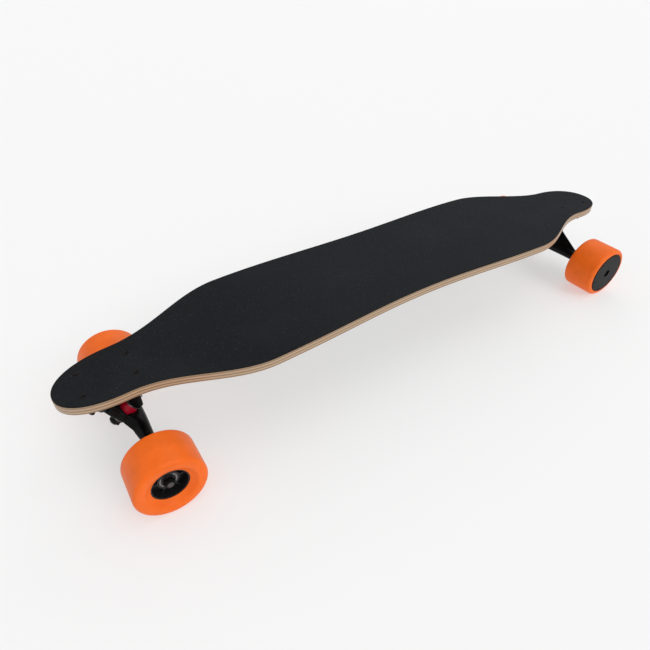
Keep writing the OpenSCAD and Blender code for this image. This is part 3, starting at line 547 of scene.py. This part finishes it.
def make_finishes(scene):
    """One finish for each of the record's material slots."""
    deck, trucks, wheels, cases = scene.deck_look, scene.truck_look, scene.wheel_look, scene.case_look
    made = {
        "maple_laminate": maple(deck),
        "grip_sheet": grip(deck),
        "riser_rubber": coated("Riser rubber", (0.016, 0.016, 0.016), 0.7, 700.0, 0.5, 0.5),
        "black_fastener": coated("Black oxide", (0.0025, 0.0025, 0.0027), 0.5, 2200.0, 0.2, 0.12, 0.02,
                                 0.15),
        "zinc_steel": bright_metal("Zinc plate", (0.18, 0.18, 0.185), 0.34),
        "bearing_steel": bearing(),
        "axle_steel": bright_metal("Axle steel", (0.10, 0.10, 0.105), 0.36),
        "truck_black": coated("Truck coat", trucks.coat, 0.24, 1100.0, 0.5, 0.14, 0.02, 0.1),
        "pivot_urethane": urethane("Pivot urethane", (0.02, 0.02, 0.021), 0.5),
        "bushing_red": urethane("Bushing urethane", trucks.bushing, 0.3, 0.05),
        "tyre_orange": urethane("Tyre urethane", wheels.tyre),
        "core_black": coated("Moulded core", wheels.core, 0.42, 1300.0, 0.3, 0.2, 0.03, 0.35),
        "rotor_black": coated("Rotor anodise", (0.008, 0.008, 0.0085), 0.36, 2400.0, 0.1, 0.12, 0.05, 0.35),
        "motor_grey": motor_cover(wheels.cover),
        "magnet_nickel": bright_metal("Magnet nickel", (0.6, 0.59, 0.56), 0.15),
        "stator_steel": bright_metal("Stator laminations", (0.26, 0.26, 0.27), 0.45, 5200.0, 0.6),
        "winding_copper": winding(),
        "lead_black": braided("Lead sleeve", (0.014, 0.014, 0.015)),
        "case_black": coated("Case shell", cases.shell, 0.5, 1500.0, 0.25, 0.45, 0.12),
        "gasket_rubber": coated("Gasket foam", (0.02, 0.02, 0.02), 0.85, 1900.0, 0.2, 0.9),
        "cell_wrap": cell_wrap(),
        "circuit_green": circuit(),
        "sink_aluminium": coated("Blasted aluminium", (0.42, 0.42, 0.43), 0.4, 2600.0, 0.15, 0.35, 0.15),
        "socket_black": coated("Socket moulding", (0.02, 0.02, 0.021), 0.28, 1800.0, 0.2, 0.1, 0.03),
        "light_lens": lens(),
    }
    made["sink_aluminium"].set("Metallic", 1.0)
    return {slot: finish.material for slot, finish in made.items()}


FINISHES = {}
SLOT_OF = {row["node"]: row["material_slot"] for row in frame["record"]["subparts"]}
BODY_OF = {node: body for body, nodes in frame["record"]["behaviour"]["bodies"].items() for node in nodes}


def finish_of(slot):
    """The material of a record's slot, with all of them made the first time."""
    if not FINISHES:
        make_groups(bpy.context.scene.deck_look)
        FINISHES.update(make_finishes(bpy.context.scene))
    return FINISHES[slot]


# Mesh work ---------------------------------------------------------------------------------------

def settle(bm, name, node, sharp=32.0, blended=False):
    """Turns a bmesh into a piece that stands for a CAD node and rides on that node's body."""
    mesh = bpy.data.meshes.new(name)
    bm.to_mesh(mesh)
    bm.free()
    return settle_mesh(mesh, name, node, sharp, blended)


def settle_mesh(mesh, name, node, sharp=32.0, blended=False):
    """The same for a mesh. A blended piece is not attached to any body here."""
    mesh.shade_smooth()
    mesh.set_sharp_from_angle(angle=math.radians(sharp))
    piece = bpy.data.objects.new(name, mesh)
    bpy.context.scene.collection.objects.link(piece)
    mesh.materials.clear()
    mesh.materials.append(finish_of(SLOT_OF[node]))
    if not blended:
        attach(piece, BODY_OF[node])
    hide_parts(node)
    return piece


def merged_copy(node):
    """A bmesh of a CAD node with its loose triangles joined."""
    bm = bmesh.new()
    bm.from_mesh(frame["nodes"][node].data)
    bmesh.ops.remove_doubles(bm, verts=bm.verts, dist=2e-6)
    bmesh.ops.recalc_face_normals(bm, faces=bm.faces)
    return bm


def sharp_edges(bm, angle=30.0, near=None):
    limit = math.radians(angle)
    return [e for e in bm.edges if len(e.link_faces) == 2 and e.calc_face_angle(0.0) > limit
            and (near is None or near(e))]


def round_edges(bm, width, segments=2, angle=30.0, near=None):
    edges = sharp_edges(bm, angle, near)
    if edges:
        bmesh.ops.bevel(bm, geom=edges, offset=width, offset_type="OFFSET", segments=segments, profile=0.5,
                        affect="EDGES", clamp_overlap=True, material=-1)


def machined(node, name, width=0.0003, segments=2, sharp=32.0):
    """A CAD node's shape with its flat faces joined and its edges broken."""
    bm = merged_copy(node)
    bmesh.ops.dissolve_limit(bm, angle_limit=math.radians(0.6), verts=bm.verts, edges=bm.edges)
    round_edges(bm, width, segments)
    piece = settle(bm, name, node, sharp=sharp)
    even = piece.modifiers.new("even_shading", "WEIGHTED_NORMAL")
    even.keep_sharp = True
    return piece


def baked(obj):
    """The mesh of an object with its modifiers applied, without the object."""
    depsgraph = bpy.context.evaluated_depsgraph_get()
    mesh = bpy.data.meshes.new_from_object(obj.evaluated_get(depsgraph))
    bpy.data.objects.remove(obj)
    return mesh


def loose_object(bm, name):
    mesh = bpy.data.meshes.new(name)
    bm.to_mesh(mesh)
    bm.free()
    obj = bpy.data.objects.new(name, mesh)
    bpy.context.scene.collection.objects.link(obj)
    return obj


def casting(node, name, voxel, rounds):
    """A CAD node's shape with the soft inner and outer corners of a casting."""
    rough = loose_object(merged_copy(node), name + "_rough")
    cells = rough.modifiers.new("cells", "REMESH")
    cells.mode = "VOXEL"
    cells.voxel_size = voxel
    mesh = baked(rough)
    bm = bmesh.new()
    bm.from_mesh(mesh)
    for _ in range(rounds):
        bmesh.ops.smooth_vert(bm, verts=bm.verts, factor=0.5, use_axis_x=True, use_axis_y=True,
                              use_axis_z=True)
    return settle(bm, name, node, sharp=60.0)


def spun(profile, centre, side, steps):
    """A closed profile of (radius, distance outwards) turned around a wheel's axle line."""
    bm = bmesh.new()
    points = [bm.verts.new((centre.x + r, centre.y + side * out, centre.z)) for r, out in profile]
    edges = [bm.edges.new((a, b)) for a, b in zip(points, points[1:] + points[:1])]
    bmesh.ops.spin(bm, geom=points + edges, cent=centre, axis=(0, 1, 0), dvec=(0, 0, 0), angle=2 * math.pi,
                   steps=steps, use_merge=True, use_normal_flip=False, use_duplicate=False)
    bmesh.ops.remove_doubles(bm, verts=bm.verts, dist=1e-6)
    bmesh.ops.recalc_face_normals(bm, faces=bm.faces)
    return bm


def half_width(deck, x):
    """Half the deck's width at a distance from the middle."""
    x = abs(x)
    if x <= deck.lobe_x:
        return deck.waist + (deck.lobe - deck.waist) * (1 - math.cos(math.pi * x / deck.lobe_x)) / 2
    start = deck.lobe_x + 0.008
    if x <= deck.neck_x:
        part = max(0.0, (x - start) / (deck.neck_x - start))
        return deck.lobe + (deck.neck - deck.lobe) * (1 - math.cos(math.pi * part)) / 2
    part = min(1.0, (x - deck.neck_x) / (HALF_LENGTH - deck.neck_x))
    return deck.neck * max(0.0, 1 - part ** 2.2) ** (1 / 2.2)


def camber(deck, x):
    """Height of the riding surface at a distance from the middle."""
    return DECK_TOP - deck.camber + math.sqrt(deck.camber ** 2 - x * x)


def deck_slab(deck, inset, top, bottom, rim, segments):
    """A slab of the deck's outline between two depths below the riding surface."""
    bm = bmesh.new()
    bmesh.ops.create_grid(bm, x_segments=176, y_segments=18, size=1.0)
    shrink = (HALF_LENGTH - inset) / HALF_LENGTH
    neck_share = 0.74
    for v in bm.verts:
        u, w = abs(v.co.x), v.co.y
        if u < neck_share:
            x = deck.neck_x * u / neck_share
        else:
            part = (u - neck_share) / (1 - neck_share)
            x = deck.neck_x + (HALF_LENGTH - deck.neck_x) * math.sin(math.pi / 2 * part)
        wide = max(0.0, half_width(deck, x) - inset)
        x = math.copysign(x * shrink, v.co.x)
        v.co = (x, w * wide, camber(deck, x) - top)
    bmesh.ops.remove_doubles(bm, verts=bm.verts, dist=2e-5)
    bmesh.ops.dissolve_degenerate(bm, edges=bm.edges, dist=2e-5)
    made = bmesh.ops.extrude_face_region(bm, geom=bm.faces[:])
    lowered = [g for g in made["geom"] if isinstance(g, bmesh.types.BMVert)]
    bmesh.ops.translate(bm, verts=lowered, vec=(0, 0, top - bottom))
    bmesh.ops.recalc_face_normals(bm, faces=bm.faces)
    if rim:
        round_edges(bm, rim, segments, angle=60.0)
    return bm


def bolt_cutter(radius, depth):
    """Short cylinders square to the deck over the eight bolt places, as one mesh."""
    bm = bmesh.new()
    low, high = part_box("truck_bolts")
    heads = merged_copy("truck_bolts")
    groups = {}
    for v in heads.verts:
        if v.co.z > high.z - 0.006:
            key = (v.co.x > 0, abs(v.co.x) > AXLE_X + 0.018, v.co.y > 0)
            groups.setdefault(key, []).append(v.co.copy())
    heads.free()
    for key in sorted(groups):
        points = groups[key]
        middle = sum(points, Vector()) / len(points)
        tilt = math.asin(middle.x / bpy.context.scene.deck_look.camber)
        turn = Matrix.Translation(middle) @ Euler((0, tilt, 0)).to_matrix().to_4x4()
        bmesh.ops.create_cone(bm, cap_ends=True, segments=40, radius1=radius, radius2=radius, depth=depth,
                              matrix=turn)
    return bm


def cut(obj_bm, cutter_bm, name):
    """One mesh with another taken out of it."""
    body, tool = loose_object(obj_bm, name), loose_object(cutter_bm, name + "_tool")
    taken = body.modifiers.new("holes", "BOOLEAN")
    taken.operation, taken.solver, taken.object = "DIFFERENCE", "EXACT", tool
    mesh = baked(body)
    bpy.data.objects.remove(tool)
    return mesh


# Pieces ------------------------------------------------------------------------------------------

class LONGBOARD_OT_deck(bpy.types.Operator):
    """Builds the laminated deck and its grip sheet"""

    bl_idname = "longboard.deck"
    bl_label = "Deck and grip sheet"

    def execute(self, context):
        deck = context.scene.deck_look
        board = deck_slab(deck, 0.0, deck.grip, deck.thickness, deck.rim, 4)
        mesh = cut(board, bolt_cutter(deck.bolt_hole, 0.006), "deck_cut")
        settle_mesh(mesh, "deck_board", "deck", sharp=40.0)
        sheet = deck_slab(deck, deck.margin, 0.0, deck.grip, 0.0, 0)
        mesh = cut(sheet, bolt_cutter(deck.bolt_hole, 0.012), "grip_cut")
        settle_mesh(mesh, "grip_sheet", "grip_tape", sharp=40.0)
        return {"FINISHED"}


class LONGBOARD_OT_fastenings(bpy.types.Operator):
    """Finishes the risers, bolts, nuts, kingpins and washers"""

    bl_idname = "longboard.fastenings"
    bl_label = "Fastenings"

    def execute(self, context):
        widths = (("truck_bolts", "deck_bolts", 0.0005), ("truck_nuts", "lock_nuts", 0.0003),
                  ("kingpins", "kingpin_shafts", 0.0004), ("kingpin_nuts", "kingpin_lock_nuts", 0.0006),
                  ("bushing_washers", "cup_washers", 0.0003), ("riser_pads", "riser_sheets", 0.0006),
                  ("case_screws", "flange_screws", 0.0003))
        for node, name, width in widths:
            machined(node, name, width)
        return {"FINISHED"}


class LONGBOARD_OT_trucks(bpy.types.Operator):
    """Builds the cast hangers and baseplates of both trucks"""

    bl_idname = "longboard.trucks"
    bl_label = "Trucks"

    def execute(self, context):
        look = context.scene.truck_look
        for end in ("front", "rear"):
            casting(f"{end}_hanger", f"{end}_hanger_casting", look.voxel, look.smoothing)
            casting(f"{end}_baseplate", f"{end}_baseplate_casting", look.voxel, look.smoothing)
        return {"FINISHED"}


class LONGBOARD_OT_bushings(bpy.types.Operator):
    """Builds the four urethane bushings that sit between deck and hanger"""

    bl_idname = "longboard.bushings"
    bl_label = "Bushings"

    def execute(self, context):
        for end, hanger in (("front", "front_hanger"), ("rear", "rear_hanger")):
            for place in ("board", "road"):
                node = f"{end}_{place}_bushing"
                bm = merged_copy(node)
                bmesh.ops.dissolve_limit(bm, angle_limit=math.radians(0.6), verts=bm.verts, edges=bm.edges)
                round_edges(bm, 0.0016, 4)
                bmesh.ops.triangulate(bm, faces=[f for f in bm.faces if len(f.verts) > 4])
                piece = settle(bm, f"{end}_{place}_bushing_cast", node, blended=True, sharp=50.0)
                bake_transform(piece)
        return {"FINISHED"}


class LONGBOARD_OT_front_wheels(bpy.types.Operator):
    """Builds the free wheels: tyres with a bowl to the hub, cores, bearings and nuts"""

    bl_idname = "longboard.front_wheels"
    bl_label = "Front wheels"

    def execute(self, context):
        look = context.scene.wheel_look
        r, w = look.radius, look.half_width
        # From the lip down the bowl to the core: radius, distance from the wheel's middle
        bowl = [(0.0336, w), (0.0314, w - 0.0009), (0.0292, 0.0243), (0.0266, 0.0221), (0.0234, 0.0209),
                (0.0234, 0.0201), (0.024, 0.02)]
        for hand, side in (("left", 1), ("right", -1)):
            centre = SPIN_CENTRES[f"front_{hand}_wheel"]
            profile = [(r, -w), (r, w), *bowl, *((radius, -out) for radius, out in reversed(bowl))]
            bm = spun(profile, centre, side, look.steps)
            shape_tyre(bm, look, centre)
            settle(bm, f"front_{hand}_tyre_cast", f"front_{hand}_tyre", sharp=50.0)
            machined(f"front_{hand}_core", f"front_{hand}_core_moulding", 0.0005)
            machined(f"front_{hand}_bearings", f"front_{hand}_bearing_pair", 0.0002)
        machined("front_axle_nuts", "axle_lock_nuts", 0.0004)
        machined("front_axle", "axle_rod", 0.0007)
        machined("front_speed_rings", "axle_washers", 0.0002)
        return {"FINISHED"}


def shape_tyre(bm, look, centre):
    """Rounds a tyre's shoulders and then its lips."""
    def shoulder(edge):
        middle = (edge.verts[0].co + edge.verts[1].co) / 2
        return math.hypot(middle.x - centre.x, middle.z - centre.z) > look.radius - 0.002
    round_edges(bm, look.shoulder, 7, near=shoulder)
    round_edges(bm, 0.0004, 2, angle=25.0, near=lambda e: not shoulder(e))


class LONGBOARD_OT_motor_wheels(bpy.types.Operator):
    """Builds the driven wheels: tyres, rotor cans, covers and screws"""

    bl_idname = "longboard.motor_wheels"
    bl_label = "Motor wheels"

    def execute(self, context):
        look = context.scene.wheel_look
        r, w = look.radius, look.half_width
        bore = 0.037
        for hand, side in (("left", 1), ("right", -1)):
            centre = SPIN_CENTRES[f"rear_{hand}_wheel"]
            profile = [(r, -w), (r, w), (bore + 0.001, w), (bore, w - 0.0006), (bore, -w + 0.0006),
                       (bore + 0.001, -w)]
            bm = spun(profile, centre, side, look.steps)
            shape_tyre(bm, look, centre)
            settle(bm, f"rear_{hand}_tyre_cast", f"rear_{hand}_tyre", sharp=50.0)
            widths = (("rotor", "rotor_can", 0.0005), ("cover", "motor_cover", 0.0004),
                      ("screws", "cover_screws", 0.0002), ("bearings", "bearing_pair", 0.0002))
            for node, name, width in widths:
                machined(f"rear_{hand}_{node}", f"rear_{hand}_{name}", width)
        machined("motor_shafts", "motor_shaft_pair", 0.0005)
        return {"FINISHED"}


class LONGBOARD_OT_leads(bpy.types.Operator):
    """Builds the two motor leads, which run between hanger and deck, and their glands"""

    bl_idname = "longboard.leads"
    bl_label = "Motor leads"

    def execute(self, context):
        route = [(-396.6, 10, 45), (-391, 10, 45.4), (-385, 10.4, 48), (-379, 11, 54), (-374, 12.4, 63),
                 (-369, 14, 74), (-362, 16.4, 86), (-351, 19, 97), (-337, 22, 106), (-321, 24, 111.2),
                 (-312, 24, 113), (-306, 24, 113)]
        curve = bpy.data.curves.new("lead_line", "CURVE")
        curve.dimensions, curve.bevel_depth, curve.bevel_resolution = "3D", context.scene.truck_look.lead, 4
        curve.use_fill_caps = True
        for side in (1, -1):
            line = curve.splines.new("BEZIER")
            line.bezier_points.add(len(route) - 1)
            line.resolution_u = 5
            for point, (x, y, z) in zip(line.bezier_points, route):
                point.co = Vector((x, side * y, z)) * MM
                point.handle_left_type = point.handle_right_type = "AUTO"
        holder = bpy.data.objects.new("lead_line", curve)
        context.scene.collection.objects.link(holder)
        context.view_layer.update()
        piece = settle_mesh(baked(holder), "motor_lead_pair", "motor_leads", blended=True, sharp=60.0)
        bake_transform(piece)
        for node, name in (("hanger_glands", "hanger_gland_pair"), ("case_glands", "case_gland_pair")):
            machined(node, name, 0.0002)
        return {"FINISHED"}


class LONGBOARD_OT_cases(bpy.types.Operator):
    """Builds the battery and control cases with what is fitted to them"""

    bl_idname = "longboard.cases"
    bl_label = "Cases"

    def execute(self, context):
        edge = context.scene.case_look.edge
        widths = (("battery_case", "battery_shell", edge), ("control_case", "control_shell", edge),
                  ("heat_sink", "finned_plate", 0.0004), ("power_link", "link_cover", 0.0008),
                  ("power_button", "button_cap", 0.0006), ("charge_socket", "socket_shell", 0.0004),
                  ("status_lights", "light_pipes", 0.0003))
        for node, name, width in widths:
            machined(node, name, width, 3)
        return {"FINISHED"}


class LONGBOARD_OT_inner(bpy.types.Operator):
    """Gives every CAD node that still shows its own finish"""

    bl_idname = "longboard.inner"
    bl_label = "Inner pieces"

    def execute(self, context):
        for node, obj in frame["nodes"].items():
            obj.data.materials.clear()
            obj.data.materials.append(finish_of(SLOT_OF[node]))
        return {"FINISHED"}


class LONGBOARD_OT_stage(bpy.types.Operator):
    """Places the camera, the floor and the lights"""

    bl_idname = "longboard.stage"
    bl_label = "Stage"

    def execute(self, context):
        look, scene = context.scene.stage_look, context.scene
        scene.view_settings.view_transform = "Standard"
        bm = bmesh.new()
        bmesh.ops.create_grid(bm, x_segments=8, y_segments=8, size=9.0)
        mesh = bpy.data.meshes.new("floor")
        bm.to_mesh(mesh)
        bm.free()
        floor = bpy.data.objects.new("floor", mesh)
        scene.collection.objects.link(floor)
        paper = Finish("Pale floor", look.floor, 0.9, Specular_IOR_Level=0.2)
        fibre = paper.web.noise(paper.web.place(), 400.0, 3.0)
        paper.set("Base Color", paper.web.mix(fibre, tint(look.floor, 0.99), look.floor))
        paper.bump(fibre, 0.05, 0.0002)
        paper.set("Emission Color", (1.0, 1.0, 1.0))
        paper.set("Emission Strength", look.glow)
        mesh.materials.append(paper.material)

        world = bpy.data.worlds.new("Studio")
        world.use_nodes = True
        scene.world = world
        sky = world.node_tree.nodes["Background"]
        sky.inputs["Color"].default_value = (1.0, 1.0, 1.0, 1.0)
        sky.inputs["Strength"].default_value = look.ambient

        for name, toward, spread, power in (("key_light", (-0.3, 1.0, 0.75), 34.0, look.key),
                                            ("top_light", (-0.4, 0.1, 1.0), 60.0, look.top),
                                            ("back_light", (-0.7, -0.8, 0.7), 30.0, look.back)):
            light = bpy.data.lights.new(name, "SUN")
            light.angle, light.energy = math.radians(spread), power
            lamp = bpy.data.objects.new(name, light)
            lamp.rotation_euler = Vector(toward).to_track_quat("Z", "Y").to_euler()
            scene.collection.objects.link(lamp)

        azimuth, elevation = math.radians(look.azimuth), math.radians(look.elevation)
        back = Vector((math.sin(azimuth) * math.cos(elevation), -math.cos(azimuth) * math.cos(elevation),
                       math.sin(elevation)))
        right = Vector((0, 0, 1)).cross(back).normalized()
        up = back.cross(right)
        turn = math.radians(look.roll)
        turned_right = right * math.cos(turn) + up * math.sin(turn)
        turned_up = up * math.cos(turn) - right * math.sin(turn)
        camera = bpy.data.objects.new("camera", bpy.data.cameras.new("camera"))
        scene.collection.objects.link(camera)
        pose = Matrix((turned_right, turned_up, back)).transposed().to_4x4()
        camera.matrix_world = Matrix.Translation(look.place) @ pose
        camera.data.sensor_width, camera.data.lens = 36.0, look.lens
        camera.data.clip_start, camera.data.clip_end = 0.01, 50.0
        scene.camera = camera
        return {"FINISHED"}


SETTINGS = {"deck_look": DeckSettings, "truck_look": TruckSettings, "wheel_look": WheelSettings,
            "case_look": CaseSettings, "stage_look": StageSettings}
OPERATORS = (LONGBOARD_OT_deck, LONGBOARD_OT_fastenings, LONGBOARD_OT_trucks, LONGBOARD_OT_bushings,
             LONGBOARD_OT_front_wheels, LONGBOARD_OT_motor_wheels, LONGBOARD_OT_leads, LONGBOARD_OT_cases,
             LONGBOARD_OT_inner, LONGBOARD_OT_stage)


class LONGBOARD_PT_panel(bpy.types.Panel):
    """Lists the pieces that can be built and their settings"""

    bl_label = "Longboard"
    bl_space_type = "VIEW_3D"
    bl_region_type = "UI"
    bl_category = "Longboard"

    def draw(self, context):
        for operator in OPERATORS:
            self.layout.operator(operator.bl_idname)
        for name in SETTINGS:
            box = self.layout.box()
            for key in getattr(context.scene, name).bl_rna.properties.keys():
                if key not in ("rna_type", "name"):
                    box.prop(getattr(context.scene, name), key)


def register():
    for name, group in SETTINGS.items():
        bpy.utils.register_class(group)
        setattr(bpy.types.Scene, name, PointerProperty(type=group))
    for made in (*OPERATORS, LONGBOARD_PT_panel):
        bpy.utils.register_class(made)


def unregister():
    for made in (LONGBOARD_PT_panel, *reversed(OPERATORS)):
        bpy.utils.unregister_class(made)
    for name, group in reversed(SETTINGS.items()):
        delattr(bpy.types.Scene, name)
        bpy.utils.unregister_class(group)


def main():
    register()
    for operator in OPERATORS:
        group, name = operator.bl_idname.split(".")
        if getattr(getattr(bpy.ops, group), name)() != {"FINISHED"}:
            raise RuntimeError(f"{operator.bl_label} didn't finish")


if __name__ == "__main__":
    main()
